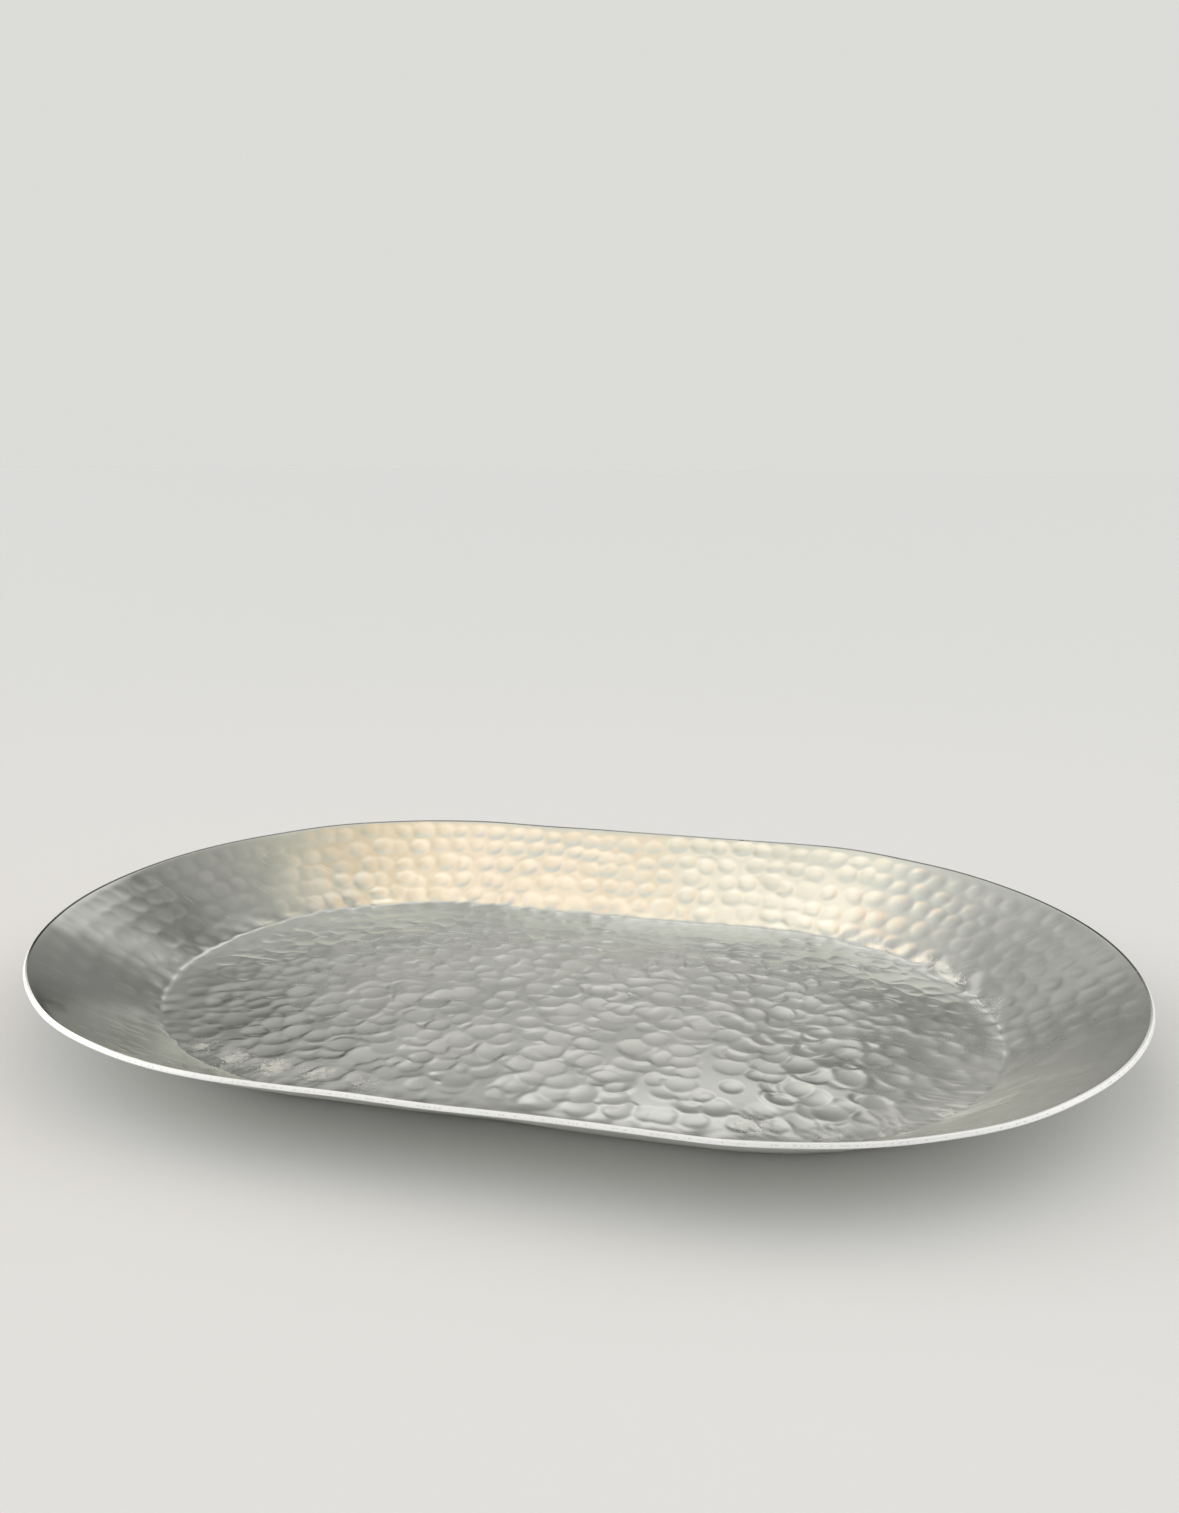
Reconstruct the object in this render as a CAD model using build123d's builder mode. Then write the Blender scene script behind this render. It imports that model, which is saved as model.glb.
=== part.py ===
"""Obround hammered serving tray: one sheet of aluminium, raised to a flat base with a
flared wall all round, and cut square to the wall at the rim.

Millimetres. +Z is up and +X runs along the tray's length. The origin is the middle
of the underside, where the tray rests on the table.
"""

import os
from math import cos, radians, sin, tan

from build123d import *

# ---------------------------------------------------------------- driving dimensions
LENGTH = 450.0  # overall, over the outside of the rim
WIDTH = 300.0  # overall, and the diameter of each round end
HEIGHT = 32.0  # table to the top of the rim
SHEET = 2.0  # thickness of the metal
WALL_ANGLE = 32.0  # rise of the flared wall above the horizontal, degrees
CREASE_RADIUS = 6.0  # inside bend between base and wall
EDGE_BREAK = 0.25  # chamfer that a file leaves on both corners of the cut edge

# ---------------------------------------------------------------- worked-out dimensions
rise = radians(WALL_ANGLE)
straight = LENGTH - WIDTH  # length of the straight stretch between the round ends
broken = EDGE_BREAK * sin(rise)  # what a chamfer takes off the overall sizes
# The rim is cut square to the wall, so the lower corner of the cut stands furthest out.
rim_out = WIDTH / 2 + broken - SHEET * sin(rise) / 2  # middle of the sheet at the cut
rim_up = HEIGHT + broken - SHEET * cos(rise) / 2
base_up = SHEET / 2  # middle of the sheet in the flat base
crease_out = rim_out - (rim_up - base_up) / tan(rise)  # where base and wall would meet
lower_corner_up = rim_up - SHEET * cos(rise) / 2  # outer corner of the cut edge

LEVEL_TOLERANCE = 0.01  # edges within this of one height are on the same corner


def middle_of_sheet():
    """Half of the section's centre line: out along the base, round the bend, up the wall."""
    return FilletPolyline(
        (0, base_up),
        (crease_out, base_up),
        (rim_out, rim_up),
        radius=CREASE_RADIUS + SHEET / 2,
    )


def level_at(height):
    """A test for edges that lie level at this height."""

    def lies_there(edge):
        box = edge.bounding_box()
        return max(abs(box.min.Z - height), abs(box.max.Z - height)) < LEVEL_TOLERANCE

    return lies_there


os.makedirs("parts", exist_ok=True)

# ---------------------------------------------------------------- tray body
with BuildPart() as tray_body:
    # A trough: the whole section carried along the straight stretch.
    with BuildSketch(Plane.YZ):
        with BuildLine():
            middle_of_sheet()
            mirror(about=Plane.YZ)
        trace(line_width=SHEET)
    extrude(amount=straight / 2, both=True)

    # One round end: half of that section turned through half a circle.
    with BuildSketch(Plane.YZ.offset(straight / 2)):
        with BuildLine():
            middle_of_sheet()
        trace(line_width=SHEET)
    revolve(axis=Axis((straight / 2, 0, 0), (0, 0, 1)), revolution_arc=-180)

    # The other end is its mirror image.
    mirror(about=Plane.YZ)

    # Both corners of the cut edge are broken.
    upper_corner = tray_body.edges().group_by(Axis.Z)[-1]
    chamfer(upper_corner, length=EDGE_BREAK)
    lower_corner = tray_body.edges().filter_by(level_at(lower_corner_up))
    chamfer(lower_corner, length=EDGE_BREAK)

tray_body.part.label = "tray_body"
export_step(tray_body.part, "parts/tray_body.step")

size = tray_body.part.bounding_box().size
print(f"tray_body: {size.X:.2f} x {size.Y:.2f} x {size.Z:.2f} mm")
print(f"metal: {tray_body.part.volume / 1000:.1f} cm3 in {len(tray_body.solids())} solid")
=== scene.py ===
"""Looks of the hammered obround tray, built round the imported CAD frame. Metres throughout.

One closed sheet of hammered metal stands for the CAD tray. Its inner face carries every
hammer mark as real geometry, its rim is a filed cut edge, and its underside shows the
marks faintly from behind.
"""

from math import cos, pi, radians, sin, sqrt, tan, tau
from typing import NamedTuple

import bpy
import numpy as np
from mathutils import Matrix, Vector


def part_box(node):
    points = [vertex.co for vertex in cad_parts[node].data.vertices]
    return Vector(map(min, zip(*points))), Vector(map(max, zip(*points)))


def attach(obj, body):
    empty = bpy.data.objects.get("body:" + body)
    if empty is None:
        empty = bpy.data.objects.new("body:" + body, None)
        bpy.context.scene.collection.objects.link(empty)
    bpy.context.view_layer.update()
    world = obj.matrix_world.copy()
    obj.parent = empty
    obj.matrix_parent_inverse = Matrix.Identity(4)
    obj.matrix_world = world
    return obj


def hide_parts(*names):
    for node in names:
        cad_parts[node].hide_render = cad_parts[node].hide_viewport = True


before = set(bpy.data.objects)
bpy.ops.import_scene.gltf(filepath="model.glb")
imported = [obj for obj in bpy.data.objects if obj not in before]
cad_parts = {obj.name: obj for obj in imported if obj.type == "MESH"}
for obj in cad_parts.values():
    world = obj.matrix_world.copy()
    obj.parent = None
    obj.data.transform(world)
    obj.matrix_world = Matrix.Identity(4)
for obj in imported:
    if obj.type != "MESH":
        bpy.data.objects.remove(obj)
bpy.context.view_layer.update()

MM = 0.001
RANDOM = np.random.default_rng(11)

# ---------------------------------------------------------------- the sheet, as in the CAD
low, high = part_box("tray_body")
WIDTH = high.y - low.y
STRAIGHT = (high.x - low.x) - WIDTH  # straight stretch between the round ends
HEIGHT = high.z
SHEET = 2.0 * MM  # thickness of the metal
SLOPE = radians(32.0)  # rise of the wall above the horizontal
BEND = 6.0 * MM  # inside radius between base and wall
UPPER_ROUND = 0.50 * MM  # how far the inner corner of the cut edge is rounded over
LOWER_ROUND = 0.30 * MM  # the outer corner is only broken

# The sheet's middle surface: flat base, then the wall from CREASE out to the cut at WALL_RUN.
WALL_RUN = (
    HEIGHT - SHEET / 2 - (SHEET / 2 - UPPER_ROUND) * cos(SLOPE) - UPPER_ROUND
) / sin(SLOPE) + UPPER_ROUND
CREASE = (
    WIDTH / 2 - (WALL_RUN - LOWER_ROUND) * cos(SLOPE)
    - (SHEET / 2 - LOWER_ROUND) * sin(SLOPE) - LOWER_ROUND
)

CUT_HEIGHT = SHEET / 2 + WALL_RUN * sin(SLOPE)  # of the sheet's middle at the cut

# ---------------------------------------------------------------- mesh fineness
END_COLUMNS = 172  # columns round the outer half of each round end
SIDE_COLUMNS = 308  # columns along each side
EVEN_RADIUS = 120 * MM  # columns are evenly spaced on the ring of this radius
WALL_STEP = 1.15 * MM
BEND_RINGS = 5
COLLAR_RINGS = 38  # rings of the base, between the bend and the core grid
CORE_CELL = 0.70 * MM
SMOOTHING_PASSES = 150

# ---------------------------------------------------------------- hammer marks
RIM_BORDER = 8.6 * MM  # rim to the middle of the first row
WALL_PITCH = 10.6 * MM  # between marks and between rows on the wall
BASE_PITCH = 7.9 * MM  # and well inside the base
WALL_RADIUS = 5.6 * MM
BASE_RADIUS = 6.1 * MM
SETTLING = 24 * MM  # from the crease inwards, over which the marks change from one to the other
MARK_DEPTH = 0.30 * MM
DEPTH_SPREAD = 0.18  # standard deviation of the depth, as a share of it
MARK_POWER = 1.8, 2.3  # range of a mark's shape, from part of a ball to flatter with a steep edge
NARROWING = 0.82, 1.0  # range of a mark's width over its length
LIP = 0.12  # how far a mark's edge stands over the metal round it, as a share of its depth
EDGE_WIDTH = 0.20  # of the step at a mark's edge, as a share of its radius
BLOW_LEAN = radians(1.4)  # usual slant of one blow against the metal under it
TILT_KEPT = 0.5  # share of the tilt of the metal that is left under a blow
FEWEST_POINTS = 12  # a blow that touches fewer points of the mesh than this is left out
UNDERSIDE_SHARE = 0.30  # of the marks' height that shows through to the underside
LEFT_END_DEPTH = 0.26  # of the marks on the wall of each round end, against the rest
RIGHT_END_DEPTH = 0.85
END_FADE = STRAIGHT / 2 + 40 * MM, WIDTH / 2 + 20 * MM  # where along the tray that sets in
FRONT_END_DEPTH = 0.20  # and where the round ends turn to the front, which are nearly smooth
FRONT_FADE = 5 * MM, 60 * MM
CREASE_DEPTH = 0.50  # and on the base beside the crease
CREASE_SMOOTH = 13 * MM

# ---------------------------------------------------------------- uneven metal
WARP_LENGTHS = 45 * MM, 140 * MM  # of the hand-worked waves
WARP_SIZE = 0.20 * MM  # root mean square
DOME_HEIGHT = 0.90 * MM  # the base bulges up a little
DOME_FLAT = 32 * MM  # distance from the middle line where the bulge starts to fall away
DOME_FOOT = 94 * MM  # and where it has died out
CHANNEL_DEPTH = 0.35 * MM  # a faint channel runs round the base beside the crease
CHANNEL_INSET = 9 * MM
CHANNEL_WIDTH = 6.5 * MM
BEAD_HEIGHT = 0.05 * MM  # a ragged bead runs along the foot of the wall
RIGHT_BEAD_HEIGHT = 0.70 * MM  # and stands up most round the back of the right end
BEAD_RISE = 1.3 * MM  # outwards from the crease
BEAD_WIDTH = 4.0 * MM
RIGHT_BACK = radians(35), radians(34)  # direction and reach of the most beaten stretch of crease
CREASE_WAVER = 0.11 * MM  # root mean square height of the uneven metal along the crease
CREASE_WAVER_WIDTH = 6.0 * MM
CREASE_WAVER_LENGTHS = 7 * MM, 22 * MM
RIM_FALL = 0.30 * MM  # the last stretch of the wall is rolled back a little
RIM_FALL_WIDTH = 3.5 * MM
LEFT_RIDGE = 0.40 * MM  # a low ridge crosses the base towards each end
RIGHT_RIDGE = 1.1 * MM
RIDGE_RADIUS = 53 * MM
RIDGE_INSIDE = 27 * MM  # width of its side towards the middle, which rises slowly
RIDGE_OUTSIDE = 16 * MM
RIDGE_FADE = STRAIGHT / 2 - 20 * MM, STRAIGHT / 2 + 35 * MM  # from the dome to the ridges

# ---------------------------------------------------------------- scuffs and wear
SCUFFS = (  # middle and radius of the places where the base is scuffed and pitted, in mm
    ((86, -86), 8), ((112, -86), 7), ((134, -76), 9), ((152, -62), 8), ((172, 30), 8),
    ((-129, -76), 8), ((-112, -84), 10), ((-94, -86), 10), ((-76, -88), 9), ((-55, -90), 7),
)
CREASE_SCUFF = 0.25  # how scuffed the crease is, away from the back of the right end
CREASE_SCUFF_WIDTH = 4.0 * MM
SCUFF_SIZE = 0.045 * MM  # root mean square height of the small ridges in the scuffs
SCUFF_LENGTHS = 2.2 * MM, 4.5 * MM
WORN = (  # middle and reach of the patches that use has worn to a satin, in mm
    ((0, 0), (168, 98)), ((185, -60), (90, 95)),
)
SHADE_PATCHES = (  # and of those painted darker, a painted shade over the left end of the tray
    ((-178, -58), (75, 85)), ((-208, 15), (60, 105)),
)
STREAKED = (166, -62), 26  # middle and radius of the scratched patch on the wall, in mm
STREAK_HEADING = radians(-36)  # its scratches run up the wall


# ---------------------------------------------------------------- the plain faces
def outline(radius, count):
    """Medial x and outward direction of count columns, evenly spaced on the ring of this radius.

    The first one is an eighth of a turn before the +X end, where the core grid has a corner.
    """
    length = 2 * STRAIGHT + tau * radius
    start = -pi * radius / 4
    along = start + np.arange(count) / count * length
    return place_on_ring(along, radius)


def place_on_ring(along, radius):
    """Medial x and outward direction at a distance along the ring from the middle of the +X end."""
    quarter = pi * radius / 2
    length = 2 * STRAIGHT + 4 * quarter
    s = (np.asarray(along) + length / 2) % length - length / 2
    side = np.sign(s) + (s == 0)
    s = np.abs(s)
    on_right = s < quarter
    on_straight = ~on_right & (s < quarter + STRAIGHT)
    angle = np.where(on_right, s / radius, np.where(on_straight, pi / 2, (s - STRAIGHT) / radius))
    medial = np.where(
        on_right, STRAIGHT / 2,
        np.where(on_straight, STRAIGHT / 2 - (s - quarter), -STRAIGHT / 2),
    )
    return medial, np.stack([np.cos(angle), side * np.sin(angle)], axis=-1)


def face_profile(offset, reach):
    """Section of one face, offset from the middle of the sheet: radius, height and tilt.

    It is given as a function of the distance from the corner where wall and base would
    meet, positive up the wall and negative along the base.
    """
    radius = BEND + SHEET / 2 - offset  # of this face's bend
    corner = CREASE - offset * tan(SLOPE / 2)
    flat = radius * tan(SLOPE / 2)  # tangent length, the same on base and wall
    reach = np.asarray(reach, float)
    turn = np.clip((reach + flat) / (2 * flat), 0, 1) * SLOPE
    wall, base = reach > flat, reach < -flat
    r = corner - flat + radius * np.sin(turn)
    z = radius * (1 - np.cos(turn))
    r = np.where(wall, corner + reach * cos(SLOPE), np.where(base, corner + reach, r))
    z = np.where(wall, reach * sin(SLOPE), np.where(base, 0, z))
    return r, SHEET / 2 + offset + z, turn


def on_columns(columns, r, z, tilt):
    """Points and normals of the rings at the given section places, one row a ring."""
    medial, out = columns
    r, z, tilt = (np.atleast_1d(v)[:, None] for v in (r, z, tilt))
    points = np.stack([medial + r * out[:, 0], r * out[:, 1], z + 0 * medial], axis=-1)
    normals = np.stack(
        [-np.sin(tilt) * out[:, 0], -np.sin(tilt) * out[:, 1], np.cos(tilt) + 0 * medial], axis=-1
    )
    return points, normals


# ---------------------------------------------------------------- hammer marks
class Blow(NamedTuple):
    """One hammer blow: its middle on the plain face, its axes in the face and its own shape."""

    middle: np.ndarray
    along: np.ndarray
    across: np.ndarray
    lean: np.ndarray  # slopes along and across
    radius: float
    narrowing: float  # width of the mark over its length
    depth: float
    power: float  # 2 is part of a ball, more is flatter with a steeper edge
    tone: float  # random value that the finish varies with


def hammer_blows():
    """Every blow in the order it fell: along each row, and row by row from the rim inwards."""
    blows = []
    reach = WALL_RUN - RIM_BORDER
    row = 0
    while True:
        r = float(face_profile(SHEET / 2, reach)[0])
        inside = float(np.clip(-reach / SETTLING, 0, 1))  # 0 on the wall, 1 well inside the base
        pitch = part_way(inside, WALL_PITCH, BASE_PITCH)
        if r < pitch * 0.4:
            return blows
        blows += blows_of_row(reach, row, inside, pitch)
        reach -= pitch
        row += 1


def blows_of_row(reach, row, inside, pitch):
    """The blows of one row, which runs round the tray at this distance up the wall."""
    length = 2 * STRAIGHT + tau * float(face_profile(SHEET / 2, reach)[0])
    count = max(4, round(length / pitch))
    along = (np.arange(count) + RANDOM.random()) * length / count
    along = along + RANDOM.normal(0, (0.9 + 0.9 * inside) * MM, count)
    shift = RANDOM.normal(0, (0.7 + 1.0 * inside) * MM, count) + wander(along, row)
    r, z, tilt = face_profile(SHEET / 2, reach + shift)
    medial, out = place_on_ring(along, r.clip(MM))
    middle = np.stack([medial + r * out[:, 0], r * out[:, 1], z], axis=-1)
    uphill = np.stack([np.cos(tilt) * out[:, 0], np.cos(tilt) * out[:, 1], np.sin(tilt)], axis=-1)
    around = np.stack([-out[:, 1], out[:, 0], 0 * r], axis=-1)
    turn = RANDOM.uniform(0, pi, count)[:, None]
    radius = part_way(inside, WALL_RADIUS, BASE_RADIUS)
    fainter = faintness(middle, reach, inside)
    return [
        Blow(*values) for values in zip(
            middle,
            np.cos(turn) * around + np.sin(turn) * uphill,
            np.cos(turn) * uphill - np.sin(turn) * around,
            RANDOM.normal(0, BLOW_LEAN * (0.6 + 0.4 * inside), (count, 2)) * fainter[:, None],
            radius * RANDOM.normal(1.0, 0.07 + 0.06 * inside, count).clip(0.7, 1.35),
            RANDOM.uniform(*NARROWING, count),
            MARK_DEPTH * fainter * RANDOM.normal(1.0, DEPTH_SPREAD, count).clip(0.6, 1.5),
            RANDOM.uniform(*MARK_POWER, count),
            RANDOM.random(count),
        )
    ]


def faintness(middle, reach, inside):
    """How deep the marks of a row are against the usual depth."""
    end_depth = np.where(middle[:, 0] < 0, LEFT_END_DEPTH, RIGHT_END_DEPTH)
    in_front = smooth_step(-middle[:, 1], *FRONT_FADE)
    end_depth = part_way(in_front, end_depth, FRONT_END_DEPTH)
    at_end = smooth_step(np.abs(middle[:, 0]), *END_FADE)
    beside_crease = -CREASE_SMOOTH < reach < 0
    return (1 + (1 - inside) * at_end * (end_depth - 1)) * (CREASE_DEPTH if beside_crease else 1)


def wander(along, row):
    """Slow drift of a row, towards and away from the rim."""
    lengths = np.array([190, 90, 50]) * MM
    size = np.array([1.1, 0.7, 0.4]) * MM
    phase = row * 1.7 + np.array([0.4, 2.1, 4.4])
    return (size * np.sin(along[:, None] * tau / lengths + phase)).sum(axis=-1)


class Cells:
    """Finds which points lie near a place, from square cells in plan."""

    def __init__(self, points, size=10 * MM):
        self.size = size
        keys = np.floor(points[:, :2] / size).astype(int)
        order = np.lexsort((keys[:, 1], keys[:, 0]))
        found, starts = np.unique(keys[order], axis=0, return_index=True)
        ends = np.append(starts[1:], len(points))
        self.members = {tuple(key): order[a:b] for key, a, b in zip(found, starts, ends)}

    def near(self, place):
        i, j = np.floor(place[:2] / self.size).astype(int)
        around = [self.members.get((i + a, j + b)) for a in (-1, 0, 1) for b in (-1, 0, 1)]
        around = [members for members in around if members is not None]
        return np.concatenate(around) if around else np.zeros(0, int)


def hammered(points, blows):
    """Height over the plain face at each point, its closeness to a mark's edge, and its tone.

    Each blow levels the metal under it, presses its own dish there and leaves a small lip.
    """
    height, edge, tone = (np.zeros(len(points)) for _ in range(3))
    cells = Cells(points)
    for blow in blows:
        near = cells.near(blow.middle)
        away = points[near] - blow.middle
        u = away @ blow.along
        v = away @ blow.across
        share = np.sqrt(u ** 2 + (v / blow.narrowing) ** 2) / blow.radius
        touched = share < 1 + EDGE_WIDTH
        if touched.sum() < FEWEST_POINTS:
            continue
        near, u, v, share = near[touched], u[touched], v[touched], share[touched]
        plane = np.stack([np.ones(len(u)), u, v], axis=-1)
        weight = share[:, None] ** 2
        level = np.linalg.lstsq(plane * weight, height[near] * weight[:, 0], rcond=None)[0]
        dish = blow.depth * (share.clip(0, 1) ** blow.power - 1 + LIP)
        bed = plane @ (level * (1, TILT_KEPT, TILT_KEPT))
        pressed = bed + dish + blow.lean[0] * u + blow.lean[1] * v
        hold = 1 - smooth_step(share, 1 - EDGE_WIDTH, 1 + EDGE_WIDTH)
        height[near] += hold * (pressed - height[near])
        edge[near] += hold * (share.clip(0, 1) ** 8 - edge[near])
        tone[near] += hold * (blow.tone - tone[near])
    return height, edge, tone


def waves(points, seed, lengths, size):
    """Random waves across the plan, with this root-mean-square height."""
    draw = np.random.default_rng(seed)
    count = 24
    heading = draw.uniform(0, tau, count)
    wave = tau / draw.uniform(*lengths, count)
    phase = draw.uniform(0, tau, count)
    across = points[:, :1] * np.cos(heading) + points[:, 1:2] * np.sin(heading)
    return size * sqrt(2 / count) * np.sin(across * wave + phase).sum(axis=-1)


def bell(distance, width):
    return np.exp(-(distance / width) ** 2)


def smooth_step(value, low, high):
    share = np.clip((value - low) / (high - low), 0, 1)
    return share * share * (3 - 2 * share)


def part_way(share, start, end):
    return start + share * (end - start)


def from_middle(points):
    """Distance in plan from the straight line between the middles of the round ends."""
    return np.hypot((np.abs(points[:, 0]) - STRAIGHT / 2).clip(0), points[:, 1])


def warp(points):
    """How far the sheet bulges inwards: waves, a low dome with a ridge at each end, a channel."""
    radius = from_middle(points)
    dome = DOME_HEIGHT * (1 - smooth_step(radius, DOME_FLAT, DOME_FOOT))
    channel = CHANNEL_DEPTH * bell(radius - CREASE + CHANNEL_INSET, CHANNEL_WIDTH)
    at_end = smooth_step(np.abs(points[:, 0]), *RIDGE_FADE)
    ridge_width = np.where(radius < RIDGE_RADIUS, RIDGE_INSIDE, RIDGE_OUTSIDE)
    ridge_height = np.where(points[:, 0] < 0, LEFT_RIDGE, RIGHT_RIDGE)
    ridge = ridge_height * bell(radius - RIDGE_RADIUS, ridge_width)
    return waves(points, 5, WARP_LENGTHS, WARP_SIZE) + part_way(at_end, dome, ridge) - channel


def rim_fall(points):
    """How far the wall falls back beside the rim."""
    edge = CREASE + WALL_RUN * cos(SLOPE)
    return RIM_FALL * smooth_step(from_middle(points), edge - RIM_FALL_WIDTH, edge + RIM_FALL_WIDTH)


def right_back(points):
    """1 round the back of the right end, where the crease is most beaten about, to 0 elsewhere."""
    turn = np.arctan2(points[:, 1], points[:, 0] - STRAIGHT / 2)
    middle, reach = RIGHT_BACK
    return bell(turn - middle, reach) * (points[:, 0] > 0)


def bead(points):
    """Height of the ragged bead at the foot of the wall and of the uneven metal beside it."""
    radius = from_middle(points)
    height = part_way(right_back(points), BEAD_HEIGHT, RIGHT_BEAD_HEIGHT)
    ragged = (1 + waves(points, 21, (7 * MM, 22 * MM), 0.5)).clip(0.1)
    rise = BEAD_RISE + waves(points, 22, (9 * MM, 30 * MM), 0.8 * MM)
    waver = waves(points, 24, CREASE_WAVER_LENGTHS, CREASE_WAVER)
    return (
        height * ragged * bell(radius - CREASE - rise, BEAD_WIDTH)
        + waver * bell(radius - CREASE, CREASE_WAVER_WIDTH)
    )


def scuffs(points):
    """Where the metal is scuffed, from 0 to 1, and the small pits and ridges there."""
    crease = bell(from_middle(points) - CREASE - BEAD_RISE, CREASE_SCUFF_WIDTH)
    ragged = smooth_step(waves(points, 23, (8 * MM, 30 * MM), 1), -1.6, 0.5)
    mask = crease * ragged * part_way(right_back(points), CREASE_SCUFF, 1)
    for (x, y), radius in SCUFFS:
        away = np.hypot(points[:, 0] - x * MM, points[:, 1] - y * MM)
        mask = np.maximum(mask, bell(away, radius * MM))
    return mask, mask * waves(points, 31, SCUFF_LENGTHS, SCUFF_SIZE)


def streaking(points):
    """1 in the middle of the scratched patch, to 0 well outside it."""
    (x, y), radius = STREAKED
    return bell(np.hypot(points[:, 0] - x * MM, points[:, 1] - y * MM), radius * MM)


def ovals(points, places):
    """1 well inside the oval patches, 0 outside them."""
    inside = np.zeros(len(points))
    for (x, y), (reach_x, reach_y) in places:
        away = np.hypot((points[:, 0] / MM - x) / reach_x, (points[:, 1] / MM - y) / reach_y)
        inside = np.maximum(inside, 1 - smooth_step(away, 0.45, 1))
    return inside


# ---------------------------------------------------------------- mesh building
def rings_of_faces(first, rings, count):
    """Quads between consecutive rings of count points, the first point's number given."""
    i, j = np.meshgrid(np.arange(rings - 1), np.arange(count), indexing="ij")
    a = first + i * count + j
    b = first + i * count + (j + 1) % count
    return np.stack([a, b, b + count, a + count], axis=-1).reshape(-1, 4)


def fill(ring, ends, sides, collar, cell):
    """Plan points and quads inside a ring: collar rings, then a square-celled core.

    The points of the ring come first. The core's four corners face the quarter points.
    """
    count = 2 * (ends + sides)
    half_x, half_y = sides * cell / 2, ends * cell / 2
    up = np.linspace(-1, 1, ends + 1)[:-1]
    right = np.linspace(-1, 1, sides + 1)[:-1]
    edge = np.concatenate([
        np.stack([half_x + 0 * up, up * half_y], axis=-1),
        np.stack([-right * half_x, half_y + 0 * right], axis=-1),
        np.stack([-half_x + 0 * up, -up * half_y], axis=-1),
        np.stack([right * half_x, -half_y + 0 * right], axis=-1),
    ])
    share = np.linspace(0, 1, collar + 1)[:, None, None]
    plan = ((1 - share) * ring + share * edge).reshape(-1, 2)
    quads = rings_of_faces(0, collar + 1, count)

    x, y = np.meshgrid(
        np.linspace(-half_x, half_x, sides + 1)[1:-1],
        np.linspace(-half_y, half_y, ends + 1)[1:-1], indexing="ij",
    )
    plan = np.concatenate([plan, np.stack([x, y], axis=-1).reshape(-1, 2)])
    number = core_numbers(ends, sides, collar * count)
    core = np.stack(
        [number[:-1, :-1], number[1:, :-1], number[1:, 1:], number[:-1, 1:]], axis=-1
    ).reshape(-1, 4)
    quads = np.concatenate([quads, core])
    return even_out(plan, quads, count), quads


def core_numbers(ends, sides, first):
    """Point numbers of the core grid: its border is the ring that starts at first."""
    number = np.zeros((sides + 1, ends + 1), int)
    number[sides, :ends] = first + np.arange(ends)
    number[sides:0:-1, ends] = first + ends + np.arange(sides)
    number[0, ends:0:-1] = first + ends + sides + np.arange(ends)
    number[:sides, 0] = first + 2 * ends + sides + np.arange(sides)
    inside = first + 2 * (ends + sides) + np.arange((sides - 1) * (ends - 1))
    number[1:-1, 1:-1] = inside.reshape(sides - 1, ends - 1)
    return number


def even_out(plan, quads, fixed):
    """Moves each point towards the middle of its neighbours, the first ones held still."""
    edges = np.concatenate([quads[:, [0, 1]], quads[:, [1, 2]], quads[:, [2, 3]], quads[:, [3, 0]]])
    a, b = edges[:, 0], edges[:, 1]
    size = len(plan)
    degree = np.bincount(a, minlength=size) + np.bincount(b, minlength=size)
    for _ in range(SMOOTHING_PASSES):
        middle = np.stack(
            [
                np.bincount(a, plan[b, k], size) + np.bincount(b, plan[a, k], size)
                for k in (0, 1)
            ],
            axis=-1,
        ) / degree[:, None]
        middle[:fixed] = plan[:fixed]
        plan = middle
    return plan


def one_face(offset, coarse, wall_end):
    """Points, normals and quads of the inner or the outer face, from the rim to the middle."""
    ends, sides = END_COLUMNS // coarse, SIDE_COLUMNS // coarse
    count = 2 * (ends + sides)
    columns = outline(EVEN_RADIUS, count)
    flat = (BEND + SHEET / 2 - offset) * tan(SLOPE / 2)
    wall_rings = round((wall_end - flat) / (WALL_STEP * coarse))
    reach = np.concatenate([
        np.linspace(wall_end, flat, wall_rings + 1),
        np.linspace(flat, -flat, BEND_RINGS + 1)[1:],
        [-flat - WALL_STEP * coarse],
    ])
    rings, normals = on_columns(columns, *face_profile(offset, reach))
    ring_quads = rings_of_faces(0, len(reach), count)
    plan, quads = fill(
        rings[-1, :, :2], ends, sides, COLLAR_RINGS // coarse, CORE_CELL * coarse
    )
    inner = np.column_stack([plan[count:], np.full(len(plan) - count, SHEET / 2 + offset)])
    up = np.tile([0.0, 0.0, 1.0], (len(inner), 1))
    points = np.concatenate([rings.reshape(-1, 3), inner])
    normals = np.concatenate([normals.reshape(-1, 3), up])
    quads = quads + (len(reach) - 1) * count
    return points, normals, np.concatenate([ring_quads, quads]), count


def rim_section():
    """The cut edge from the inner corner to the outer: distance past the cut, and height."""
    half = SHEET / 2
    upper = np.radians(np.linspace(90, 0, 8))[1:]
    lower = np.radians(np.linspace(0, -90, 5))[:-1]
    flat = np.linspace(half - UPPER_ROUND, -half + LOWER_ROUND, 5)[1:-1]
    past = np.concatenate([
        UPPER_ROUND * (np.cos(upper) - 1), 0 * flat, LOWER_ROUND * (np.cos(lower) - 1)
    ])
    height = np.concatenate([
        half + UPPER_ROUND * (np.sin(upper) - 1), flat, -half + LOWER_ROUND * (np.sin(lower) + 1)
    ])
    return past, height


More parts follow.
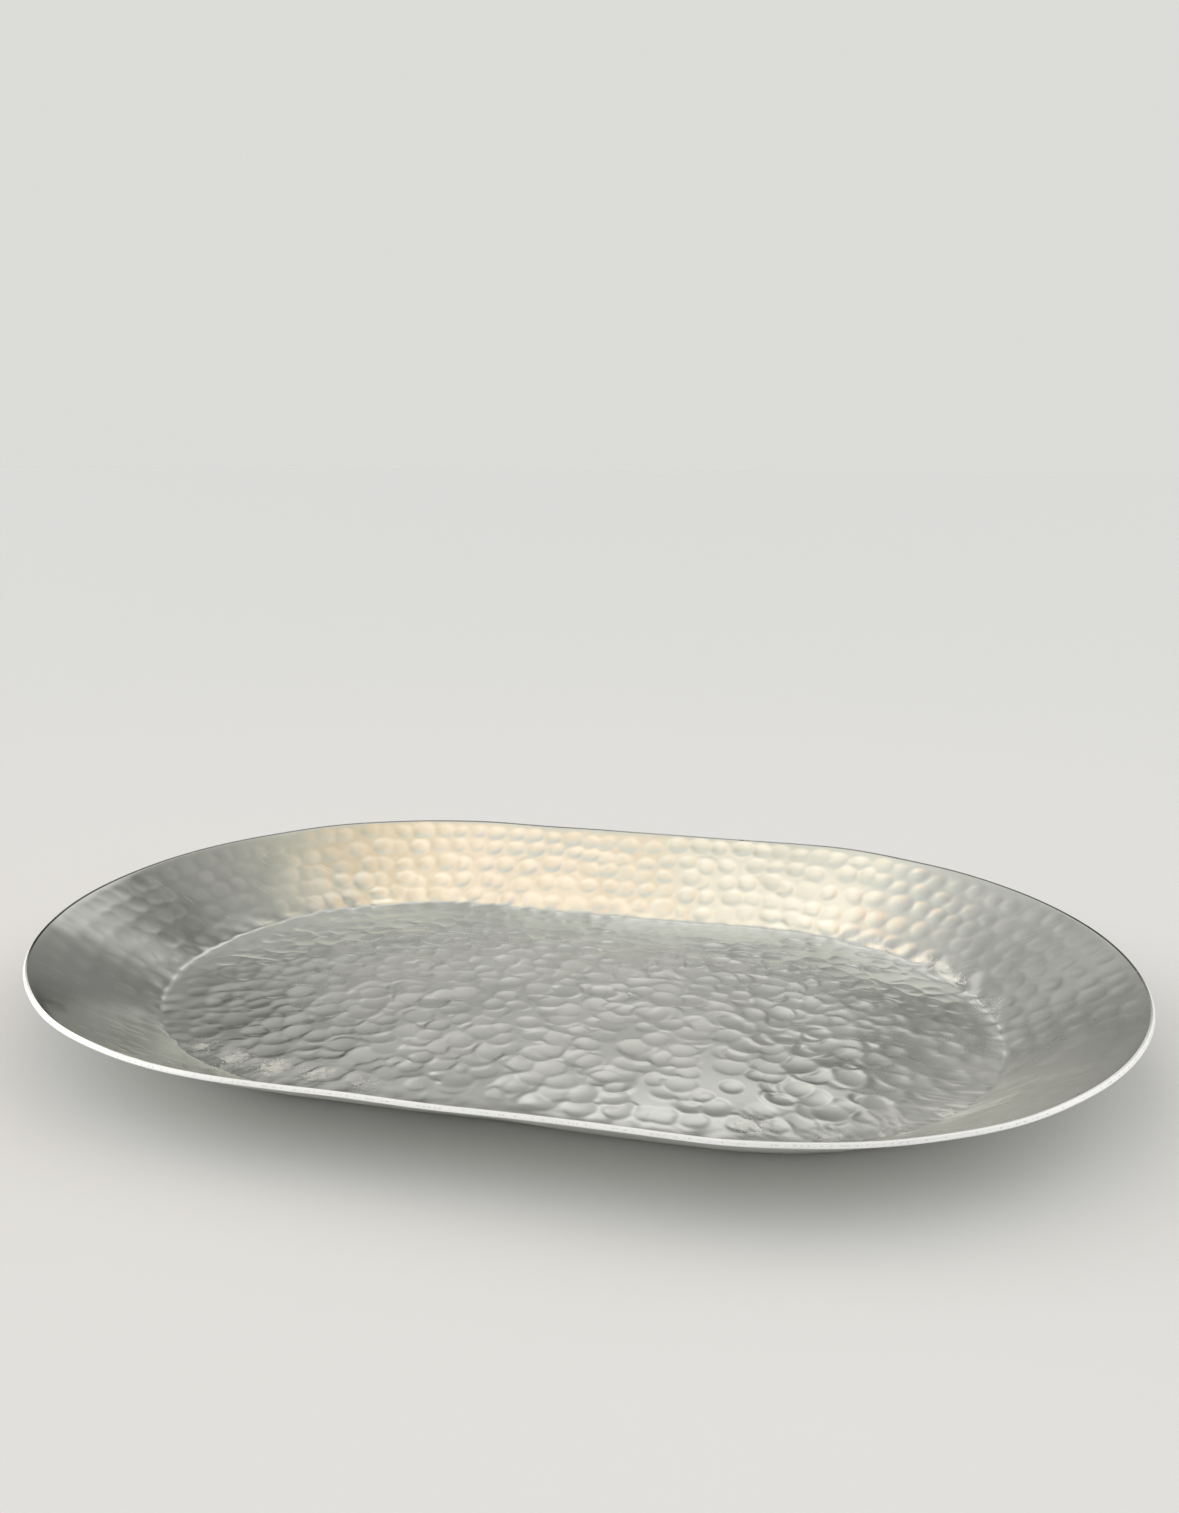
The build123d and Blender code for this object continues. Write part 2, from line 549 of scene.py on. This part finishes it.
def rim_points(columns, top_move, bottom_move):
    """Rings of the cut edge, which bends with the faces on both sides of it."""
    medial, out = columns
    past, height = rim_section()
    level = 0 * medial
    outwards = np.stack([out[:, 0] * cos(SLOPE), out[:, 1] * cos(SLOPE), level + sin(SLOPE)], -1)
    square = np.stack([-out[:, 0] * sin(SLOPE), -out[:, 1] * sin(SLOPE), level + cos(SLOPE)], -1)
    r = CREASE + WALL_RUN * cos(SLOPE)
    cut = np.stack([medial + r * out[:, 0], r * out[:, 1], level + CUT_HEIGHT], axis=-1)
    share = ((height + SHEET / 2) / SHEET)[:, None]
    move = share * top_move + (1 - share) * bottom_move
    return cut + past[:, None, None] * outwards + (height[:, None] + move)[..., None] * square


def sheet_mesh():
    """The whole closed sheet: points, the faces of each material, and what the finish needs."""
    blows = hammer_blows()
    inner, inner_up, inner_quads, count = one_face(SHEET / 2, 1, WALL_RUN - UPPER_ROUND)
    outer, outer_up, outer_quads, half_count = one_face(-SHEET / 2, 2, WALL_RUN - LOWER_ROUND)

    height, edge, tone = hammered(inner, blows)
    back = UNDERSIDE_SHARE * hammered(outer + SHEET * outer_up, blows)[0]
    scuffed, pits = scuffs(inner)
    inner_move = warp(inner) + height + bead(inner) + pits - rim_fall(inner)
    outer_move = warp(outer) + back
    rim = rim_points(outline(EVEN_RADIUS, count), inner_move[:count], warp(inner[:count]))
    rings = len(rim)
    points = np.concatenate([
        inner + inner_up * inner_move[:, None],
        rim.reshape(-1, 3),
        outer + outer_up * outer_move[:, None],
    ])
    points[:, 2] = points[:, 2].clip(0)  # what lies on the table is pressed flat

    first_rim = len(inner)
    first_outer = first_rim + rings * count
    j = np.arange(count)
    k = (j + 1) % count
    join = np.stack([j, first_rim + j, first_rim + k, k], axis=-1)
    rim_quads = rings_of_faces(first_rim, rings, count)[:, ::-1]
    faces = {
        "hammered_aluminium": [inner_quads],
        "cut_edge": [join, rim_quads],
        "underside": [*halving_faces(first_outer - count, count, first_outer, half_count),
                      outer_quads[:, ::-1] + first_outer],
    }
    across = np.zeros(len(points))
    across[first_rim:first_outer] = np.repeat(np.linspace(0, 1, rings), count)
    across[first_outer:] = 1
    of_face = {"mark_edge": edge, "mark_tone": tone, "scuffed": scuffed, "streaked": streaking(inner)}
    elsewhere = np.zeros(len(points) - len(inner))
    finish = {name: np.append(values, elsewhere) for name, values in of_face.items()}
    finish["worn"] = ovals(points, WORN)
    # painted shade: darker colour over the left end
    finish["painted_shade"] = ovals(points, SHADE_PATCHES)
    finish["rim_across"] = across  # 0 at the inner face, 1 at the underside
    return points, faces, finish


def halving_faces(ring, count, coarse_ring, half_count):
    """Triangles between a ring and the next one, which has half as many points."""
    c = np.arange(half_count)
    a, b, d = ring + 2 * c, ring + 2 * c + 1, ring + (2 * c + 2) % count
    e, f = coarse_ring + c, coarse_ring + (c + 1) % half_count
    return [np.stack([a, e, b], -1), np.stack([b, e, f], -1), np.stack([b, f, d], -1)]


def add_sheet(materials):
    """The sheet as one piece, its faces given the materials of the same names."""
    points, faces, finish = sheet_mesh()
    mesh = bpy.data.meshes.new("hammered_sheet")
    polygons, slots = [], []
    for slot, name in enumerate(materials):
        for group in faces[name]:
            polygons += group.tolist()
            slots += [slot] * len(group)
    mesh.from_pydata(points.tolist(), [], polygons)
    mesh.polygons.foreach_set("material_index", slots)
    mesh.polygons.foreach_set("use_smooth", np.ones(len(polygons), bool))
    for name, values in finish.items():
        mesh.attributes.new(name, "FLOAT", "POINT").data.foreach_set("value", values)
    for material in materials.values():
        mesh.materials.append(material)
    mesh.update()
    piece = bpy.data.objects.new("hammered_sheet", mesh)
    bpy.context.scene.collection.objects.link(piece)
    return piece


# ---------------------------------------------------------------- materials
FACE_COLOURS = (0.76, 0.77, 0.705, 1), (0.93, 0.93, 0.87, 1)  # darkest and lightest
EDGE_COLOURS = (0.62, 0.62, 0.60, 1), (0.94, 0.94, 0.925, 1)
UNDERSIDE_COLOURS = (0.60, 0.605, 0.57, 1), (0.78, 0.785, 0.74, 1)
PIT_SIZE = 1.4 * MM
PIT_DEPTH = 0.06 * MM
GRAIN_DEPTH = 0.004 * MM
SCRATCH_RARITY = 0.73  # of the fine scratches, from 0 for all over to 1 for none


class Nodes:
    """The node tree of one material, with short ways to add its nodes and join them."""

    def __init__(self, name):
        self.material = bpy.data.materials.new(name)
        self.material.use_nodes = True
        self.tree = self.material.node_tree
        self.shader = self.tree.nodes["Principled BSDF"]

    def add(self, kind, **settings):
        node = self.tree.nodes.new(kind)
        for name, value in settings.items():
            setattr(node, name, value)
        return node

    def feed(self, socket, value):
        """Joins an output to a socket, or sets the socket to a plain value."""
        if isinstance(value, bpy.types.NodeSocket):
            self.tree.links.new(value, socket)
        else:
            socket.default_value = value

    def maths(self, operation, *values):
        node = self.add("ShaderNodeMath", operation=operation)
        for socket, value in zip(node.inputs, values):
            self.feed(socket, value)
        return node.outputs[0]

    def sum(self, start, *terms):
        """start plus each value times its weight, the terms being (value, weight)."""
        for value, weight in terms:
            start = self.maths("MULTIPLY_ADD", value, weight, start)
        return start

    def attribute(self, name):
        return self.add("ShaderNodeAttribute", attribute_name=name).outputs["Fac"]

    def place(self, scale=(1, 1, 1), turn=(0, 0, 0)):
        """Where the point is on the object, in metres, turned and then scaled."""
        mapping = self.add("ShaderNodeMapping")
        self.feed(mapping.inputs["Vector"], self.add("ShaderNodeTexCoord").outputs["Object"])
        mapping.inputs["Scale"].default_value = scale
        mapping.inputs["Rotation"].default_value = turn
        return mapping.outputs[0]

    def noise(self, size, detail=2.0, place=None):
        """Noise from 0 to 1, centred on 0.5, with lumps of about this size."""
        node = self.add("ShaderNodeTexNoise")
        self.feed(node.inputs["Vector"], place or self.place())
        node.inputs["Scale"].default_value = 1 / size
        node.inputs["Detail"].default_value = detail
        return node.outputs["Fac"]

    def between(self, value, low, high, start=0.0, end=1.0):
        node = self.add("ShaderNodeMapRange", interpolation_type="SMOOTHSTEP")
        for socket, given in zip(node.inputs, (value, low, high, start, end)):
            self.feed(socket, given)
        return node.outputs[0]

    def mix(self, share, first, second):
        node = self.add("ShaderNodeMix", data_type="RGBA")
        for name, value in (("Factor", share), ("A", first), ("B", second)):
            socket = [i for i in node.inputs if i.name == name and i.enabled][0]
            self.feed(socket, value)
        return [o for o in node.outputs if o.enabled][0]

    def pits(self, size):
        """Round spots, 1 in their middles, about this far apart."""
        node = self.add("ShaderNodeTexVoronoi")
        self.feed(node.inputs["Vector"], self.place())
        node.inputs["Scale"].default_value = 1 / size
        return self.between(node.outputs["Distance"], 0.38, 0.0)

    def scratches(self, width, length, turn, rarity):
        """Thin streaks, 1 along their middles, after this turn the first axis runs along them."""
        place = self.place((1 / length, 1 / width, 1 / length), (0, 0, turn))
        return self.between(self.noise(1.0, 1.0, place), rarity, rarity + 0.12)

    def bump(self, height, depth, over=None):
        """Bumps from a height of 0 to 1 that stands for this depth, over the given normal."""
        node = self.add("ShaderNodeBump")
        if over:
            self.feed(node.inputs["Normal"], over)
        node.inputs["Strength"].default_value = 1.0
        node.inputs["Distance"].default_value = depth
        self.feed(node.inputs["Height"], height)
        return node.outputs[0]

    def finish(self, colour, roughness, normal=None):
        self.shader.inputs["Metallic"].default_value = 1.0
        self.feed(self.shader.inputs["Base Color"], colour)
        self.feed(self.shader.inputs["Roughness"], roughness)
        if normal:
            self.feed(self.shader.inputs["Normal"], normal)
        return self.material


def hammered_aluminium():
    """Bright on the walls, worn to a satin by use on the base, whitish where it is scuffed, with
    painted glints as white flecks and spots there, and painted shade darkening the left end.
    """
    nodes = Nodes("hammered_aluminium")
    edge = nodes.attribute("mark_edge")
    tone = nodes.attribute("mark_tone")
    worn = nodes.attribute("worn")
    scuffed = nodes.attribute("scuffed")
    patches = nodes.noise(38 * MM, 3.0)
    mottle = nodes.noise(5 * MM, 4.0)
    grain = nodes.noise(1.3 * MM, 3.0)
    # Painted glints: tiny white flecks lighten the colour where the metal is scuffed, standing in for
    # glints; they are rougher there too.
    glint_speckle = nodes.noise(2.8 * MM, 3.0)
    painted_glint_flecks = nodes.between(
        nodes.sum(-0.55, (scuffed, 0.52), (tone, 0.30), (glint_speckle, 0.85)), 0.36, 0.60
    )
    # Pits: real small dents in the bump and rougher, and their lighter colour is a painted glint.
    pitted = nodes.between(nodes.sum(-0.35, (scuffed, 0.8), (mottle, 0.7)), 0.25, 0.60)
    pits = nodes.maths("MULTIPLY", nodes.pits(PIT_SIZE), pitted)
    scratches = nodes.scratches(1.6 * MM, 20 * MM, -STREAK_HEADING, 0.50)
    streaks = nodes.maths("MULTIPLY", scratches, nodes.attribute("streaked"))
    fine = nodes.maths(
        "MAXIMUM", nodes.scratches(0.7 * MM, 30 * MM, radians(24), SCRATCH_RARITY),
        nodes.scratches(0.7 * MM, 22 * MM, radians(-8), SCRATCH_RARITY)
    )
    # Colour lightness from random tone, mark edges, wear, scuffs and scratches, with painted glints
    # in the white flecks and pits and painted shade over the left end.
    light = nodes.sum(
        -0.35, (patches, 0.7), (mottle, 0.5), (tone, 0.15), (edge, 0.10), (worn, 0.30),
        (scuffed, 0.1), (painted_glint_flecks, 0.4), (pits, 0.8), (streaks, 0.4), (fine, 0.6),
        (nodes.attribute("painted_shade"), -0.8)
    )
    colour = nodes.mix(light, *FACE_COLOURS)
    roughness = nodes.sum(
        0.08, (worn, 0.12), (patches, 0.10), (mottle, 0.10), (tone, 0.05), (edge, -0.03),
        (scuffed, 0.07), (painted_glint_flecks, 0.19), (pits, 0.30), (streaks, 0.22), (fine, 0.22)
    )
    bumps = nodes.bump(grain, GRAIN_DEPTH, nodes.bump(pits, PIT_DEPTH))
    return nodes.finish(colour, roughness, bumps)


def cut_edge():
    """Sheared and filed: fine lines along the rim, with a dotted grey line below its middle."""
    nodes = Nodes("cut_edge")
    across = nodes.attribute("rim_across")
    stack = nodes.add("ShaderNodeCombineXYZ")
    nodes.feed(stack.inputs["Z"], nodes.maths("MULTIPLY", across, 9.0))
    along = nodes.add("ShaderNodeVectorMath", operation="ADD")
    nodes.feed(along.inputs[0], nodes.place(scale=(55, 55, 0)))
    nodes.feed(along.inputs[1], stack.outputs[0])
    lines = nodes.noise(1.0, 3.0, along.outputs[0])
    dots = nodes.between(nodes.noise(1.3 * MM, 2.0), 0.50, 0.62)
    from_line = nodes.maths("ABSOLUTE", nodes.sum(-0.62, (across, 1.0)))
    line = nodes.maths("MULTIPLY", nodes.between(from_line, 0.10, 0.02), dots)
    light = nodes.sum(0.55, (lines, 0.8), (line, -0.45))
    colour = nodes.mix(light, *EDGE_COLOURS)
    roughness = nodes.sum(0.48, (lines, 0.22), (line, 0.1))
    return nodes.finish(colour, roughness, nodes.bump(lines, 0.05 * MM))


def underside():
    """Duller and greyer than the face, with blotches and rubbed marks."""
    nodes = Nodes("underside")
    blotches = nodes.noise(45 * MM, 4.0)
    mottle = nodes.noise(6 * MM, 4.0)
    grain = nodes.noise(0.8 * MM, 3.0)
    light = nodes.sum(-0.6, (blotches, 1.3), (mottle, 0.9))
    colour = nodes.mix(light, *UNDERSIDE_COLOURS)
    roughness = nodes.sum(0.16, (blotches, 0.22), (mottle, 0.20))
    return nodes.finish(colour, roughness, nodes.bump(grain, 0.012 * MM))


# ---------------------------------------------------------------- studio
class Glow(NamedTuple):
    """A round soft light on the dome, which fades out from its middle."""

    azimuth: float  # in degrees, from straight behind the tray towards the right
    elevation: float
    spread: float  # in degrees, from the middle to where it has died out
    strength: float
    tint: tuple = (1, 1, 1)


class Panel(NamedTuple):
    """A soft panel above the tray, which shines straight down."""

    name: str
    x: float
    size: tuple
    power: float
    colour: tuple


BACKDROP = (0.714, 0.713, 0.695, 1)
FLOOR_COLOUR = (0.78, 0.78, 0.77, 1)
FLOOR_REACH = 25.0
# The camera's values are a camera fit's, rounded.
CAMERA_PLACE = (0.120, -0.479, 0.224)
CAMERA_HEADING = radians(13.2)  # turned to the left
CAMERA_FALL = radians(13.3)  # looks down by this much
CAMERA_ROLL = radians(0.22)
CAMERA_LENS = 29.88
# Not every light here was chosen by hand. Where a line says "fitted", the strength and the tint are
# the rounded results of a least-squares fit to the photograph's colours, made by another program.
# Where it says "from the fit", that result was changed afterwards. The directions, spreads, sizes
# and places, and the lines that say neither, are given one by one.
EVEN_LIGHT = 0.02  # from the fit
GLOWS = (
    # overhead
    Glow(0, 90, 70, 0.11),  # fitted
    Glow(0, 90, 35, 0.36, (1, 0.986, 0.778)),  # fitted
    # high behind the tray
    Glow(-41, 51, 38, 0.36),  # from the fit
    Glow(-16, 60, 22, 0.22),  # from the fit
    Glow(-6, 39, 12, 0.58),
    # low behind the tray, where the base is a mirror for the camera
    Glow(0, 18, 30, 0.09),  # from the fit
    Glow(-17, 14, 15, 0.13),
    Glow(2, 28, 11, 0.20),
    Glow(-5, 2, 10, 0.14),
    Glow(-17, 30, 15, 0.17),
    Glow(-31, 26, 11, 0.08),
    # to the left and the right
    Glow(-90, 10, 45, 2.1),  # from the fit
    Glow(70, 25, 54, 1.3),  # fitted
    Glow(-115, 40, 50, 0.45),  # fitted
    Glow(120, 40, 50, 0.20),
    # behind the camera
    Glow(180, 45, 60, 0.75),  # from the fit
)
PANEL_Y = 0.03
PANEL_HEIGHT = 0.60
PANELS = (
    Panel("warm_overhead", -0.245, (0.35, 0.44), 0.14, (1.0, 0.42, 0.02)),  # fitted
    Panel("white_overhead", 0.085, (0.31, 0.44), 0.165, (1.0, 0.78, 0.64)),  # fitted
)


def add_camera():
    """The camera at the viewing angle, with the long side of the frame as its sensor."""
    data = bpy.data.cameras.new("camera")
    data.sensor_width = 36.0
    data.lens = CAMERA_LENS
    camera = bpy.data.objects.new("camera", data)
    heading = Matrix.Rotation(CAMERA_HEADING, 4, "Z")
    fall = Matrix.Rotation(pi / 2 - CAMERA_FALL, 4, "X")
    roll = Matrix.Rotation(CAMERA_ROLL, 4, "Z")
    camera.matrix_world = Matrix.Translation(CAMERA_PLACE) @ heading @ fall @ roll
    bpy.context.scene.collection.objects.link(camera)
    bpy.context.scene.camera = camera


def add_floor():
    mesh = bpy.data.meshes.new("floor")
    r = FLOOR_REACH
    mesh.from_pydata([(-r, -r, 0), (r, -r, 0), (r, r, 0), (-r, r, 0)], [], [(0, 1, 2, 3)])
    floor = bpy.data.objects.new("floor", mesh)
    bpy.context.scene.collection.objects.link(floor)
    material = bpy.data.materials.new("floor")
    material.use_nodes = True
    shader = material.node_tree.nodes["Principled BSDF"]
    shader.inputs["Base Color"].default_value = FLOOR_COLOUR
    shader.inputs["Roughness"].default_value = 0.9
    mesh.materials.append(material)


def add_panel(panel):
    data = bpy.data.lights.new(panel.name, "AREA")
    data.shape = "RECTANGLE"
    data.size, data.size_y = panel.size
    data.energy = panel.power
    data.color = panel.colour
    light = bpy.data.objects.new(panel.name, data)
    light.location = (panel.x, PANEL_Y, PANEL_HEIGHT)
    light.visible_camera = False
    bpy.context.scene.collection.objects.link(light)


def direction(glow):
    a, e = radians(glow.azimuth), radians(glow.elevation)
    return Vector((sin(a) * cos(e), cos(a) * cos(e), sin(e)))


def add_world():
    """A soft dome with the glows on it, and a plain backdrop in its place for the camera."""
    world = bpy.data.worlds.new("studio")
    bpy.context.scene.world = world
    world.use_nodes = True
    nodes, links = world.node_tree.nodes, world.node_tree.links
    dome = nodes["Background"]
    links.new(glow_light(nodes, links), dome.inputs["Color"])
    backdrop = nodes.new("ShaderNodeBackground")
    backdrop.inputs["Color"].default_value = BACKDROP
    rays = nodes.new("ShaderNodeLightPath")
    either = nodes.new("ShaderNodeMixShader")
    links.new(rays.outputs["Is Camera Ray"], either.inputs["Fac"])
    links.new(dome.outputs[0], either.inputs[1])
    links.new(backdrop.outputs[0], either.inputs[2])
    links.new(either.outputs[0], nodes["World Output"].inputs["Surface"])


def glow_light(nodes, links):
    """Colour of the dome in each direction: the even light and every glow added up."""
    place = nodes.new("ShaderNodeTexCoord").outputs["Generated"]
    total = None  # the even light goes in with the first glow
    for glow in GLOWS:
        towards = nodes.new("ShaderNodeVectorMath")
        towards.operation = "DOT_PRODUCT"
        links.new(place, towards.inputs[0])
        towards.inputs[1].default_value = direction(glow)
        fade = nodes.new("ShaderNodeMapRange")
        fade.interpolation_type = "SMOOTHSTEP"
        links.new(towards.outputs["Value"], fade.inputs["Value"])
        fade.inputs["From Min"].default_value = cos(radians(glow.spread))
        adding = nodes.new("ShaderNodeVectorMath")
        adding.operation = "MULTIPLY_ADD"
        links.new(fade.outputs[0], adding.inputs[0])
        adding.inputs[1].default_value = [glow.strength * share for share in glow.tint]
        if total is None:
            adding.inputs[2].default_value = (EVEN_LIGHT, EVEN_LIGHT, EVEN_LIGHT)
        else:
            links.new(total, adding.inputs[2])
        total = adding.outputs[0]
    return total


# ---------------------------------------------------------------- putting it together
sheet = add_sheet({
    "hammered_aluminium": hammered_aluminium(),
    "cut_edge": cut_edge(),
    "underside": underside(),
})
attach(sheet, "root")
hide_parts("tray_body")

add_camera()
add_floor()
add_world()
for panel in PANELS:
    add_panel(panel)
bpy.context.scene.view_settings.view_transform = "Standard"
